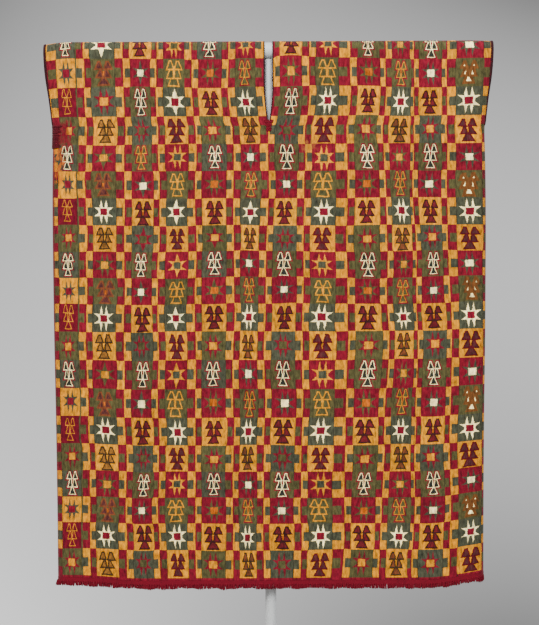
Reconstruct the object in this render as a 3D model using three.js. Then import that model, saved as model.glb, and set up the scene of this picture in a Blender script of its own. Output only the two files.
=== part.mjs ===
// A sleeveless woven tunic hung over the crossbar of a plain display stand.
// Units are millimetres, +Z is up, +X is to the right as seen from the front, and the front faces -Y.
// The origin is on the floor, in the middle of the stand's base.

import * as THREE from 'three';

// Stand
const BASE_RADIUS = 180;
const BASE_EDGE = 9;
const BASE_CROWN = 13;
const BASE_BEVEL = 2;
const BOSS_FOOT_RADIUS = 26;
const BOSS_TOP_RADIUS = 18;
const BOSS_HEIGHT = 24;
const POST_RADIUS = 8.5;
const BAR_RADIUS = 13;
const BAR_LENGTH = 610;
const HEM_ABOVE_FLOOR = 262;
const ROUND_SIDES = 32;
const BASE_SIDES = 48;

// Cloth
const WALL = 1.6;
const GAP = 0.3;
const HEM_GAP = 0.6;
const WEB_LENGTH = 842.5;
const ARMHOLE_END = 140.7;
const SLIT_END = 140.7;
const SEAM_START = 148;
const SEAM_HALF_OPENING = 1.2;
const HALF_TURN_AT_SEAM = Math.PI / 2;
const SLIT_SHIFT_LOST = 0.5;

// Bands, stitched bars and fringe
const NECK_BAND_WIDTH = 2;
const NECK_BAND_END = 132;
const ARM_BAND_LAP = 3.4;
const ARM_BAND_WALL = 0.9;
const ARM_BAND_EASE = 0.45;
const TACK_EASE = 0.6;
const SEAM_INSIDE = 1;
const SEAM_OUTSIDE = 1.2;
const SEAM_HALF_DEPTH = 0.9;
const TACK_WALL = 1;
const NECK_TACK_HALF_WIDTH = 4.5;
const NECK_TACK_END = SEAM_START;
const UNDERARM_TACK_LINES = 3;
const UNDERARM_TACK_END = 172;
const FRINGE_WALL = 2.2;
const FRINGE_STRIP = 6;
const FRINGE_LOCKS = 84;
const LOCK_SHARE = 0.84;
const LOCK_LENGTH = 9;
const LOCK_RAGGED = 2.2;
const RAGGED_WAVES = [{ share: 0.6, pace: 1.9 }, { share: 0.4, pace: 0.73 }];

// Sections of the cloth, by the distance down from the shoulder ridge: half the width of the cloth,
// how far its wall hangs from the middle plane, and the share of a quarter turn its sides make.
const LEVELS = [
  { down: 0, half: 343.6, stand: 14.1, turn: 0 },
  { down: 22, half: 343.5, stand: 14.1, turn: 0 },
  { down: 45, half: 342.6, stand: 14.1, turn: 0.12 },
  { down: 65, half: 341.2, stand: 14.2, turn: 0.28 },
  { down: 84, half: 339.6, stand: 14.4, turn: 0.46 },
  { down: 115, half: 339.2, stand: 14.6, turn: 0.7 },
  { down: 140.7, half: 340.0, stand: 14.8, turn: 0.85 },
  { down: SEAM_START, half: 341.8, stand: 14.8, turn: 1 },
  { down: 176, half: 342.6, stand: 15.0, turn: 1 },
  { down: 410, half: 342.8, stand: 15.6, turn: 1 },
  { down: 457, half: 342.4, stand: 15.9, turn: 1 },
  { down: 590, half: 340.8, stand: 17.0, turn: 1 },
  { down: 770, half: 339.6, stand: 18.4, turn: 1 },
  { down: 860, half: 339.4, stand: 19.0, turn: 1 },
];

// Half the opening of the neck slit, by the distance down from the shoulder ridge
const SLIT = [
  { down: 0, half: 7.8 },
  { down: 84, half: 7.8 },
  { down: 101, half: 6.4 },
  { down: 115, half: 4.9 },
  { down: NECK_BAND_END, half: 3 },
  { down: SLIT_END, half: 0 },
];

// The soft upright folds of each wall: where the crest stands across the cloth, how wide and how
// deep it is, and how far down it begins.
const FOLDS = {
  front: [
    { across: -236, wide: 46, deep: 2.0, from: 300 },
    { across: -128, wide: 58, deep: -1.5, from: 420 },
    { across: -22, wide: 44, deep: 1.6, from: 170 },
    { across: 96, wide: 62, deep: -1.7, from: 380 },
    { across: 216, wide: 52, deep: 2.4, from: 240 },
  ],
  back: [
    { across: -214, wide: 56, deep: 2.2, from: 260 },
    { across: -84, wide: 52, deep: -1.4, from: 400 },
    { across: 34, wide: 48, deep: 1.7, from: 190 },
    { across: 146, wide: 60, deep: -1.6, from: 360 },
    { across: 250, wide: 44, deep: 2.0, from: 300 },
  ],
};

// The width over which the folds die out before the cloth's sides turn back
const FOLD_FADE = 40;

// How far the shoulder's outer corners sag past the ends of the bar
const CORNER_SAG = { left: 4.5, right: 1.5, from: 300, fade: 150 };

// How much the hem rises towards each side, between two distances out from the slit line, and how
// far down the cloth the rise begins
const HEM_RISE = {
  left: { rise: 6, from: 190, to: 300 },
  right: { rise: 13, from: 240, to: 360 },
  startDown: 300,
};

const FRONT = -1;
const BACK = 1;
const LEFT = -1;
const RIGHT = 1;

const ridgeRadius = BAR_RADIUS + GAP + WALL / 2;
const ridgeArc = ridgeRadius * Math.PI / 2;
const hemBottom = WEB_LENGTH + HEM_GAP + FRINGE_STRIP + LOCK_LENGTH;
const ridgeTop = HEM_ABOVE_FLOOR + hemBottom - ridgeArc + ridgeRadius;
const barHeight = ridgeTop - ridgeRadius;

const colours = {
  web: '#8a3030',
  band: '#4d1420',
  fringe: '#7c1426',
  stand: '#c2c0bd',
};

// Straight-line reading of a column in one of the tables above
function read(table, down, column) {
  const last = table.length - 1;
  if (down >= table[last].down) return table[last][column];
  const i = Math.max(1, table.findIndex((row) => row.down > down));
  const [a, b] = [table[i - 1], table[i]];
  const share = Math.max(0, (down - a.down) / (b.down - a.down));
  return a[column] + share * (b[column] - a[column]);
}

// Width of cloth that stays flat before the side begins to turn back
function flatHalf(down) {
  const turnRadius = read(LEVELS, down, 'stand') - SEAM_HALF_OPENING;
  return read(LEVELS, down, 'half') - turnRadius * HALF_TURN_AT_SEAM;
}

// Outward swell of the soft folds at one place on the cloth
function foldSwell(face, across, down) {
  const folds = face === FRONT ? FOLDS.front : FOLDS.back;
  const flat = flatHalf(down);
  const fade = THREE.MathUtils.smoothstep(flat - Math.abs(across), 0, FOLD_FADE);
  return fade * folds.reduce((sum, fold) => {
    const grown = THREE.MathUtils.smoothstep(down, fold.from, WEB_LENGTH);
    return sum + fold.deep * grown * Math.exp(-(((across - fold.across) / fold.wide) ** 2));
  }, 0);
}

// How far the cloth is drawn up at one place, for the hem's rise towards its sides
function hemRise(side, reach, down) {
  const { rise, from, to } = side === LEFT ? HEM_RISE.left : HEM_RISE.right;
  const lower = THREE.MathUtils.smoothstep(down, HEM_RISE.startDown, WEB_LENGTH);
  return rise * THREE.MathUtils.smoothstep(reach, from, to) * lower;
}

// Middle of the cloth wall. reach is measured along the cloth from the neck slit towards one side,
// and down along the cloth from the shoulder ridge: a quarter circle over the bar, then a hanging
// wall whose side turns back on a circle towards the middle plane. The slit's opening pushes the
// cloth aside, less and less towards the side edge.
function clothMiddle(face, side, reach, down) {
  const half = read(LEVELS, down, 'half');
  const turn = read(LEVELS, down, 'turn');
  const flat = flatHalf(down);
  const opening = read(SLIT, down, 'half');
  const shift = opening * (1 - SLIT_SHIFT_LOST * Math.max(0, reach) / half);
  const beyond = reach - flat;
  let x = shift + reach;
  let inward = 0;
  if (beyond > 0 && turn > 0) {
    const radius = (half - flat) / (turn * HALF_TURN_AT_SEAM);
    const angle = beyond / radius;
    x = shift + flat + radius * Math.sin(angle);
    inward = radius * (1 - Math.cos(angle));
  }
  const onBar = Math.min(down, ridgeArc) / ridgeRadius;
  const hanging = Math.max(0, down - ridgeArc);
  const stand = down < ridgeArc ? ridgeRadius * Math.sin(onBar) : read(LEVELS, down, 'stand');
  const out = stand - inward + foldSwell(face, side * reach, down);
  const sag = side === LEFT ? CORNER_SAG.left : CORNER_SAG.right;
  const past = Math.max(0, (reach - CORNER_SAG.from) / (half - CORNER_SAG.from));
  const drop = sag * past * past * Math.max(0, 1 - down / CORNER_SAG.fade);
  const level = barHeight + ridgeRadius * Math.cos(onBar) - hanging;
  const z = level - drop + hemRise(side, reach, down);
  return new THREE.Vector3(side * x, face * out, z);
}

// A point of the cloth, moved out from the middle of the wall along its normal
function clothPoint(face, side, reach, down, out) {
  const step = 0.5;
  const middle = clothMiddle(face, side, reach, down);
  const across = clothMiddle(face, side, reach + step, down)
    .sub(clothMiddle(face, side, reach - step, down));
  const lower = clothMiddle(face, side, reach, Math.max(0, down - step));
  const along = clothMiddle(face, side, reach, down + step).sub(lower);
  const normal = new THREE.Vector3().crossVectors(along, across).normalize();
  if (face * side === 1) normal.negate();
  return middle.addScaledVector(normal, out);
}

// Rows of points down the cloth: over the bar, close ones where the sides turn, then to the hem
const turningRows = [34, 45, 55, 65, 75, 84, 92, 101, 115, 124, NECK_BAND_END, SLIT_END, SEAM_START];
const barRows = 5;
const lowerRows = 12;
const rows = [
  ...Array.from({ length: barRows + 1 }, (_, i) => ridgeArc * i / barRows),
  ...turningRows,
  UNDERARM_TACK_END,
  ...Array.from({ length: lowerRows }, (_, i) => THREE.MathUtils.lerp(
    UNDERARM_TACK_END, WEB_LENGTH, (i + 1) / lowerRows)),
];

function rowsBetween(from, to) {
  return [from, ...rows.filter((down) => down > from + 0.01 && down < to - 0.01), to];
}

// A closed wall over a flat net of quads: outer and inner points for each node of the net, and a rim
// along every edge that only one quad has. tip(a, b) may close a rim edge with a pointed lock.
function wallGeometry(outer, inner, quads, tip = () => null) {
  const count = outer.length;
  const points = [...outer, ...inner];
  const faces = [];
  const edges = new Map();
  for (const [a, b, c, d] of quads) {
    faces.push([a, b, c], [a, c, d]);
    faces.push([a + count, c + count, b + count], [a + count, d + count, c + count]);
    for (const [from, to] of [[a, b], [b, c], [c, d], [d, a]]) {
      const key = `${Math.min(from, to)}_${Math.max(from, to)}`;
      if (edges.has(key)) edges.delete(key);
      else edges.set(key, [from, to]);
    }
  }
  for (const [a, b] of edges.values()) {
    const ring = [a, a + count, b + count, b];
    const end = tip(a, b);
    if (end) {
      points.push(end);
      ring.forEach((corner, i) => faces.push([corner, ring[(i + 1) % 4], points.length - 1]));
    } else {
      faces.push([a, a + count, b + count], [a, b + count, b]);
    }
  }
  const geometry = new THREE.BufferGeometry();
  geometry.setAttribute('position', new THREE.Float32BufferAttribute(
    points.flatMap((p) => [p.x, p.y, p.z]), 3));
  geometry.setIndex(faces.flat());
  geometry.computeVertexNormals();
  return geometry;
}

// Turns the faces of a closed geometry to point out, by the sign of its volume
function facedOut(geometry) {
  const index = geometry.getIndex().array;
  const at = geometry.getAttribute('position');
  const [a, b, c] = [new THREE.Vector3(), new THREE.Vector3(), new THREE.Vector3()];
  let volume = 0;
  for (let i = 0; i < index.length; i += 3) {
    a.fromBufferAttribute(at, index[i]);
    b.fromBufferAttribute(at, index[i + 1]);
    c.fromBufferAttribute(at, index[i + 2]);
    volume += a.dot(b.cross(c));
  }
  if (volume < 0) {
    for (let i = 0; i < index.length; i += 3) {
      [index[i + 1], index[i + 2]] = [index[i + 2], index[i + 1]];
    }
    geometry.computeVertexNormals();
  }
  return geometry;
}

// Lines of points down the web: even ones over its flat part, then those of the turn, with the last
// two as far apart as the armhole's edging laps the cloth
const flatSteps = 9;
const turnSteps = 4;

function reachAt(step, down) {
  const flat = flatHalf(down);
  const half = read(LEVELS, down, 'half');
  if (step <= flatSteps) return flat * step / flatSteps;
  if (step === flatSteps + turnSteps) return half;
  return THREE.MathUtils.lerp(flat, half - ARM_BAND_LAP, (step - flatSteps) / (turnSteps - 1));
}

// One wall of the tunic, from the shoulder ridge to the hem, with the neck slit left open
function webGeometry(face) {
  const steps = flatSteps + turnSteps;
  const outer = [];
  const inner = [];
  const quads = [];
  const ids = new Map();
  const start = GAP / 2;
  const downs = [start, ...rows.slice(1)];
  const nodeAt = (side, step, row) => {
    const joined = step === 0 && downs[row] >= SLIT_END;
    const key = `${joined ? 0 : side}_${step}_${row}`;
    if (!ids.has(key)) {
      ids.set(key, outer.length);
      const reach = reachAt(step, downs[row]);
      outer.push(clothPoint(face, side, reach, downs[row], WALL / 2));
      inner.push(clothPoint(face, side, reach, downs[row], -WALL / 2));
    }
    return ids.get(key);
  };
  for (const side of [LEFT, RIGHT]) {
    for (let row = 0; row < downs.length - 1; row += 1) {
      for (let step = 0; step < steps; step += 1) {
        const quad = [[step, row], [step + 1, row], [step + 1, row + 1], [step, row + 1]]
          .map(([s, r]) => nodeAt(side, s, r));
        quads.push(side === RIGHT ? quad : quad.reverse());
      }
    }
  }
  return facedOut(wallGeometry(outer, inner, quads));
}

// A closed bar whose section, a ring of points for each station, is carried along the stations
function barGeometry(stations) {
  const sides = stations[0].length;
  const points = stations.flat();
  const faces = [];
  for (let i = 0; i < stations.length - 1; i += 1) {
    for (let j = 0; j < sides; j += 1) {
      const [a, b] = [i * sides + j, i * sides + (j + 1) % sides];
      faces.push([a, b, b + sides], [a, b + sides, a + sides]);
    }
  }
  const last = (stations.length - 1) * sides;
  for (const [a, b, c] of capTriangles(stations[0])) {
    faces.push([a, c, b], [a + last, b + last, c + last]);
  }
  const geometry = new THREE.BufferGeometry();
  geometry.setAttribute('position', new THREE.Float32BufferAttribute(
    points.flatMap((p) => [p.x, p.y, p.z]), 3));
  geometry.setIndex(faces.flat());
  return facedOut(geometry);
}

// Triangles that close a bar's end, found in the plane of the end
function capTriangles(ring) {
  const origin = ring[0];
  const u = ring[1].clone().sub(origin).normalize();
  const normal = new THREE.Vector3();
  ring.forEach((p, i) => {
    const q = ring[(i + 1) % ring.length];
    normal.add(new THREE.Vector3().crossVectors(p.clone().sub(origin), q.clone().sub(origin)));
  });
  const v = new THREE.Vector3().crossVectors(normal, u).normalize();
  const flat = ring.map((p) => {
    const arm = p.clone().sub(origin);
    return new THREE.Vector2(arm.dot(u), arm.dot(v));
  });
  return THREE.ShapeUtils.triangulateShape(flat, []);
}

// Stations of a band that runs from the front over the shoulder ridge and down the back
function overShoulder(end) {
  const front = rowsBetween(0, end).map((down) => ({ face: FRONT, down })).reverse();
  const back = rowsBetween(0, end).slice(1).map((down) => ({ face: BACK, down }));
  return [...front, ...back];
}

// The overcast edging of one side of the neck slit, beside the web's edge
function neckBandGeometry(side) {
  const [near, far] = [-GAP, -GAP - NECK_BAND_WIDTH];
  return barGeometry(overShoulder(NECK_BAND_END).map(({ face, down }) => [
    clothPoint(face, side, near, down, WALL / 2),
    clothPoint(face, side, far, down, WALL / 2),
    clothPoint(face, side, far, down, -WALL / 2),
    clothPoint(face, side, near, down, -WALL / 2),
  ]));
}

// The overcast edging of one armhole, a channel that laps both faces of the web
function armBandGeometry(side) {
  const lapOut = WALL / 2 + ARM_BAND_EASE;
  const faceOut = lapOut + ARM_BAND_WALL;
  return barGeometry(overShoulder(ARMHOLE_END).map(({ face, down }) => {
    const edge = read(LEVELS, down, 'half');
    const [back, inside, outside] = [edge - ARM_BAND_LAP, edge + GAP, edge + GAP + ARM_BAND_WALL];
    return [
      [back, lapOut], [back, faceOut], [outside, faceOut], [outside, -faceOut],
      [back, -faceOut], [back, -lapOut], [inside, -lapOut], [inside, lapOut],
    ].map(([reach, out]) => clothPoint(face, side, reach, down, out));
  }));
}

// The sewn side seam, a narrow bar between the edges of the front and the back
function sideSeamGeometry(side) {
  const top = side === LEFT ? UNDERARM_TACK_END + GAP : ARMHOLE_END + GAP;
  const ends = rowsBetween(top, WEB_LENGTH + HEM_GAP + FRINGE_STRIP);
  return barGeometry(ends.map((down) => {
    const edge = clothMiddle(FRONT, side, read(LEVELS, down, 'half'), down);
    const [near, far] = [edge.x - side * SEAM_INSIDE, edge.x + side * SEAM_OUTSIDE];
    return [[near, -1], [far, -1], [far, 1], [near, 1]]
      .map(([x, y]) => new THREE.Vector3(x, y * SEAM_HALF_DEPTH, edge.z));
  }));
}

// A stitched bar laid over the cloth: a net of places across and down, given a wall above it
function tackGeometry(places, downs, lift) {
  const outer = [];
  const inner = [];
  const quads = [];
  const wide = places.length;
  downs.forEach((down, row) => places.forEach(({ face, side, reach }, i) => {
    const edge = reach(down);
    outer.push(clothPoint(face, side, edge, down, lift + TACK_WALL));
    inner.push(clothPoint(face, side, edge, down, lift));
    if (row && i) {
      const corner = row * wide + i;
      quads.push([corner - wide - 1, corner - wide, corner, corner - 1]);
    }
  }));
  return facedOut(wallGeometry(outer, inner, quads));
}

// The stitched bar that closes the foot of the neck slit
function neckTackGeometry(face) {
  const places = [
    { face, side: LEFT, reach: () => NECK_TACK_HALF_WIDTH },
    { face, side: LEFT, reach: () => 0 },
    { face, side: RIGHT, reach: () => 0 },
    { face, side: RIGHT, reach: () => NECK_TACK_HALF_WIDTH },
  ];
  return tackGeometry(places, rowsBetween(NECK_BAND_END + GAP, NECK_TACK_END), WALL / 2 + GAP);
}

// The stitched patch that wraps the foot of the left armhole from the front to the back, over the
// outermost lines of the web
function underarmTackGeometry() {
  const lift = WALL / 2 + TACK_EASE;
  const lines = Array.from({ length: UNDERARM_TACK_LINES }, (_, i) => flatSteps + turnSteps - i);
  const placeAt = (face, line) => ({ face, side: LEFT, reach: (down) => reachAt(line, down) });
  const places = [
    ...lines.map((line) => placeAt(FRONT, line)).reverse(),
    ...lines.map((line) => placeAt(BACK, line)),
  ];
  return tackGeometry(places, rowsBetween(ARMHOLE_END + GAP, UNDERARM_TACK_END), lift);
}

// The hem fringe of one wall: a woven strip below the web, and pointed locks hanging from it. Each
// lock's length follows two waves of unlike length, so that the fringe is ragged.
function fringeGeometry(face) {
  const top = WEB_LENGTH + HEM_GAP;
  const bottom = top + FRINGE_STRIP;
  const half = read(LEVELS, bottom, 'half');
  const pitch = 2 * half / FRINGE_LOCKS;
  const across = [-half];
  for (let lock = 0; lock < FRINGE_LOCKS; lock += 1) {
    const left = -half + lock * pitch;
    across.push(left + pitch * LOCK_SHARE);
    if (lock < FRINGE_LOCKS - 1) across.push(left + pitch);
  }
  const pointAt = (place, down, out) => clothPoint(
    face, place < 0 ? LEFT : RIGHT, Math.abs(place), down, out);
  const outer = across.flatMap((place) => [top, bottom].map(
    (down) => pointAt(place, down, FRINGE_WALL / 2)));
  const inner = across.flatMap((place) => [top, bottom].map(
    (down) => pointAt(place, down, -FRINGE_WALL / 2)));
  const quads = across.slice(1).map((_, i) => [2 * i, 2 * i + 1, 2 * i + 3, 2 * i + 2]);
  const lockTip = (a, b) => {
    const [first, second] = [Math.min(a, b), Math.max(a, b)];
    const column = (first - 1) / 2;
    const isRoot = first % 2 === 1 && second - first === 2 && column % 2 === 0;
    if (!isRoot) return null;
    const ragged = LOCK_RAGGED * RAGGED_WAVES.reduce(
      (sum, { share, pace }) => sum + share * Math.sin(column * pace), 0);
    const place = (across[column] + across[column + 1]) / 2;
    return pointAt(place, bottom + LOCK_LENGTH - LOCK_RAGGED + ragged, 0);
  };
  return facedOut(wallGeometry(outer, inner, quads, lockTip));
}

// The stand's foot: a flat round plate, gently crowned, with a boss for the post
function baseGeometry() {
  const profile = [
    [0, 0], [BASE_RADIUS - BASE_BEVEL, 0], [BASE_RADIUS, BASE_BEVEL],
    [BASE_RADIUS, BASE_EDGE - BASE_BEVEL], [BASE_RADIUS - BASE_BEVEL, BASE_EDGE],
    [BOSS_FOOT_RADIUS, BASE_CROWN], [BOSS_TOP_RADIUS, BOSS_HEIGHT], [0, BOSS_HEIGHT],
  ].map(([r, z]) => new THREE.Vector2(r, z));
  return new THREE.LatheGeometry(profile, BASE_SIDES).rotateX(Math.PI / 2);
}

function postGeometry() {
  const length = barHeight - BAR_RADIUS - GAP - BOSS_HEIGHT - GAP;
  const post = new THREE.CylinderGeometry(POST_RADIUS, POST_RADIUS, length, ROUND_SIDES);
  return post.rotateX(Math.PI / 2).translate(0, 0, BOSS_HEIGHT + GAP + length / 2);
}

// The crossbar: a tube's outer form with rounded ends, turned on its long axis
function crossbarGeometry() {
  const endSteps = 4;
  const end = Array.from({ length: endSteps + 1 }, (_, i) => {
    const angle = Math.PI / 2 * i / endSteps;
    return [BAR_RADIUS * Math.sin(angle), BAR_LENGTH / 2 - BAR_RADIUS + BAR_RADIUS * Math.cos(angle)];
  });
  const profile = [...end, ...end.map(([r, along]) => [r, -along]).reverse()]
    .map(([r, along]) => new THREE.Vector2(Math.max(0, r), -along));
  const bar = new THREE.LatheGeometry(profile, ROUND_SIDES);
  return bar.rotateZ(Math.PI / 2).translate(0, 0, barHeight);
}

const finishes = {
  web: { color: colours.web, roughness: 0.92, metalness: 0 },
  band: { color: colours.band, roughness: 0.95, metalness: 0 },
  fringe: { color: colours.fringe, roughness: 0.95, metalness: 0 },
  stand: { color: colours.stand, roughness: 0.55, metalness: 0 },
};

function addPiece(group, name, geometry, finish) {
  const mesh = new THREE.Mesh(geometry, new THREE.MeshStandardMaterial(finishes[finish]));
  mesh.name = name;
  group.add(mesh);
}

const tunic = new THREE.Group();
tunic.name = 'tunic';
addPiece(tunic, 'front_web', webGeometry(FRONT), 'web');
addPiece(tunic, 'back_web', webGeometry(BACK), 'web');
addPiece(tunic, 'hem_fringe_front', fringeGeometry(FRONT), 'fringe');
addPiece(tunic, 'hem_fringe_back', fringeGeometry(BACK), 'fringe');
for (const [word, side] of [['left', LEFT], ['right', RIGHT]]) {
  addPiece(tunic, `neck_band_${word}`, neckBandGeometry(side), 'band');
  addPiece(tunic, `arm_band_${word}`, armBandGeometry(side), 'band');
  addPiece(tunic, `side_seam_${word}`, sideSeamGeometry(side), 'band');
}
addPiece(tunic, 'neck_tack_front', neckTackGeometry(FRONT), 'band');
addPiece(tunic, 'neck_tack_back', neckTackGeometry(BACK), 'band');
addPiece(tunic, 'underarm_tack_left', underarmTackGeometry(), 'band');

const stand = new THREE.Group();
stand.name = 'stand';
addPiece(stand, 'stand_base', baseGeometry(), 'stand');
addPiece(stand, 'stand_post', postGeometry(), 'stand');
addPiece(stand, 'stand_crossbar', crossbarGeometry(), 'stand');

const displayedTunic = new THREE.Group();
displayedTunic.add(tunic, stand);

export default displayedTunic;
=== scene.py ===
import math

import bpy
import numpy as np
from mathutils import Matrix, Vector


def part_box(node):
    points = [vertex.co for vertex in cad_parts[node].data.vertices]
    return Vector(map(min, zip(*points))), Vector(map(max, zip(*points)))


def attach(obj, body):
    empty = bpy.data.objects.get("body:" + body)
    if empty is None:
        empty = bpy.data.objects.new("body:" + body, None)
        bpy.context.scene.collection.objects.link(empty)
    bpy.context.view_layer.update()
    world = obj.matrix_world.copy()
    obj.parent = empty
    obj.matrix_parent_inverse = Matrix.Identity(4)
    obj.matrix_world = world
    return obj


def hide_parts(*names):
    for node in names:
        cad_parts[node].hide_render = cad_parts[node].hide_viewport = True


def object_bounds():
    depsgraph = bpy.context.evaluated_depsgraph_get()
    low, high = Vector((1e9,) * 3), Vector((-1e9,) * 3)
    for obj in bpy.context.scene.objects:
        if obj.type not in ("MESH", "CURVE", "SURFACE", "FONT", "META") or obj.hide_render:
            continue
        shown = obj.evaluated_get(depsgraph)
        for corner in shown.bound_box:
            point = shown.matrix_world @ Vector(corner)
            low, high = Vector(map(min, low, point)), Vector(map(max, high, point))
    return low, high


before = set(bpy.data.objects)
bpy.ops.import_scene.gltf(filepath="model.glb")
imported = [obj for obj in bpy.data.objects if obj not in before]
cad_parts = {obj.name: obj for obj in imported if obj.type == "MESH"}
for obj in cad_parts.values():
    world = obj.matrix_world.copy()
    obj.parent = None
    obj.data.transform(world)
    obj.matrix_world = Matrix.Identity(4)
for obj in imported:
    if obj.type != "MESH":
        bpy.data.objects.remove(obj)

cadLow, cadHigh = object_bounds()
mm = 0.001

# Camera first: the picture is 539 by 625, and its longer side takes the sensor's width
photoView = {
    "width": 539,
    "height": 625,
    "mmPerPixel": 1.553,
    "middleColumn": 269.6,  # the column of pixels where x is 0
    "shoulderRow": 41.2,    # the row of pixels of the shoulder's ridge
    "distance": 4.2,
    "frontPlane": 0.0,
    "sensor": 36.0,
    "rollDegrees": 0.25,
}


def makeCamera():
    v = photoView
    scale = v["mmPerPixel"] * mm
    data = bpy.data.cameras.new("camera")
    data.sensor_width = v["sensor"]
    data.lens = v["sensor"] * v["distance"] / (v["height"] * scale)
    data.clip_start, data.clip_end = 0.05, 60.0
    camera = bpy.data.objects.new("camera", data)
    bpy.context.scene.collection.objects.link(camera)
    across = (v["width"] / 2 - v["middleColumn"]) * scale
    height = cadHigh.z - (v["height"] / 2 - v["shoulderRow"]) * scale
    camera.location = (across, v["frontPlane"] - v["distance"], height)
    camera.rotation_euler = (math.pi / 2, math.radians(v["rollDegrees"]), 0)
    bpy.context.scene.camera = camera


makeCamera()
print("camera placed")

# The cloth's form, the same as the solids': a quarter circle over the bar on each side, then walls
# that hang down and turn back at their sides to meet at the seams
barLow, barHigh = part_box("stand_crossbar")
bar = {"height": (barLow.z + barHigh.z) / 2, "radius": (barHigh.z - barLow.z) / 2}
clothForm = {
    "wall": 1.6 * mm,
    "seat": 0.3 * mm,          # between the bar and the cloth
    "webLength": 842.5 * mm,   # from the shoulder ridge to the hem, along the cloth
    "openEnd": 140.7 * mm,     # the foot of the neck slit and of the armholes
    "seamHalf": 1.2 * mm,
    "shiftLost": 0.5,          # share of the slit's opening that the side edge doesn't move
    "sagLeft": 4.5 * mm,
    "sagRight": 1.5 * mm,
    "sagFrom": 300 * mm,
    "sagFade": 150 * mm,
}
clothLevels = {
    "down": [0, 22, 45, 65, 84, 115, 140.7, 148, 176, 410, 457, 590, 770, 860],
    "half": [343.6, 343.5, 342.6, 341.2, 339.6, 339.2, 340, 341.8, 342.6, 342.8, 342.4, 340.8, 339.6, 339.4],
    "stand": [14.1, 14.1, 14.1, 14.2, 14.4, 14.6, 14.8, 14.8, 15, 15.6, 15.9, 17, 18.4, 19],
    "turn": [0, 0, 0.12, 0.28, 0.46, 0.7, 0.85, 1, 1, 1, 1, 1, 1, 1],
}
slitOpening = {"down": [0, 84, 101, 115, 132, 140.7], "half": [7.8, 7.8, 6.4, 4.9, 3, 0]}
# Soft upright folds: where the crest is, its width and depth, and how far down it starts
clothFolds = {
    "front": {"across": [-236, -128, -22, 96, 216], "wide": [46, 58, 44, 62, 52],
              "deep": [2.0, -1.5, 1.6, -1.7, 2.4], "start": [300, 420, 170, 380, 240]},
    "back": {"across": [-214, -84, 34, 146, 250], "wide": [56, 52, 48, 60, 44],
             "deep": [2.2, -1.4, 1.7, -1.6, 2.0], "start": [260, 400, 190, 360, 300]},
}
# The hem's rise towards each side: how much, and the reach where it starts and ends
hemRise = {"left": (6, 190, 300), "right": (13, 240, 360), "startDown": 300}
# Creases: middle of each, half its length and width, depth, and how it leans from upright
clothCreases = {
    "across": [-30, 26, -318, 314, -150, 170, 60, -250, 236, -70],
    "down": [120, 96, 196, 188, 60, 52, 300, 470, 560, 690],
    "long": [70, 46, 60, 52, 30, 34, 110, 90, 120, 100],
    "wide": [9, 7, 8, 9, 10, 11, 14, 13, 15, 14],
    "deep": [0.9, 0.8, -1.1, -1.0, 0.6, -0.5, 0.5, -0.6, 0.6, 0.7],
    "lean": [0.35, -0.5, 0.9, -0.8, 1.2, -1.1, 0.1, -0.2, 0.15, -0.1],
}
# Unevenness of hand weaving: height, wavelength and seed of a broad and a fine ripple, with the
# width of the calm strips at the sides and below the ridge
clothCockle = {"broad": (0.45, 60, 5), "fine": (0.16, 21, 6), "sides": 40, "ridge": (15, 60)}
ridgeRadius = bar["radius"] + clothForm["seat"] + clothForm["wall"] / 2
ridgeArc = ridgeRadius * math.pi / 2


def readLevels(name, down):
    # Cubic through a column of the levels table: each row's slope is the mean slope at that row
    x = np.array(clothLevels["down"]) * mm
    y = np.array(clothLevels[name], float) * (1 if name == "turn" else mm)
    slope = np.gradient(y, x)
    i = np.clip(np.searchsorted(x, down, side="right") - 1, 0, len(x) - 2)
    step = x[i + 1] - x[i]
    t = np.clip((down - x[i]) / step, 0, 1)
    start = (1 + 2 * t) * (1 - t) ** 2 * y[i] + t * (1 - t) ** 2 * step * slope[i]
    end = t * t * (3 - 2 * t) * y[i + 1] + t * t * (t - 1) * step * slope[i + 1]
    return start + end


def smoothStep(value, low, high):
    # 0 to 1 from low to high, level at both ends
    t = np.clip((value - low) / (high - low), 0, 1)
    return t * t * (3 - 2 * t)


def softNoise(x, y, size, seed, waves=9):
    # Mean of sine waves in random directions, with wavelengths around size; from about -1 to 1
    rng = np.random.default_rng(seed)
    total = np.zeros(np.broadcast(x, y).shape)
    for _ in range(waves):
        angle, phase = rng.uniform(0, math.tau, 2)
        k = math.tau / (size * rng.uniform(0.6, 1.8))
        total = total + np.sin(k * (x * math.cos(angle) + y * math.sin(angle)) + phase)
    return total / math.sqrt(waves / 2) / 1.6   # 1.6 brings nearly all of it within -1 to 1


def flatHalf(down):
    # Half width of the flat part, which the quarter turn at the side leaves
    return readLevels("half", down) - (readLevels("stand", down) - clothForm["seamHalf"]) * math.pi / 2


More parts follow.
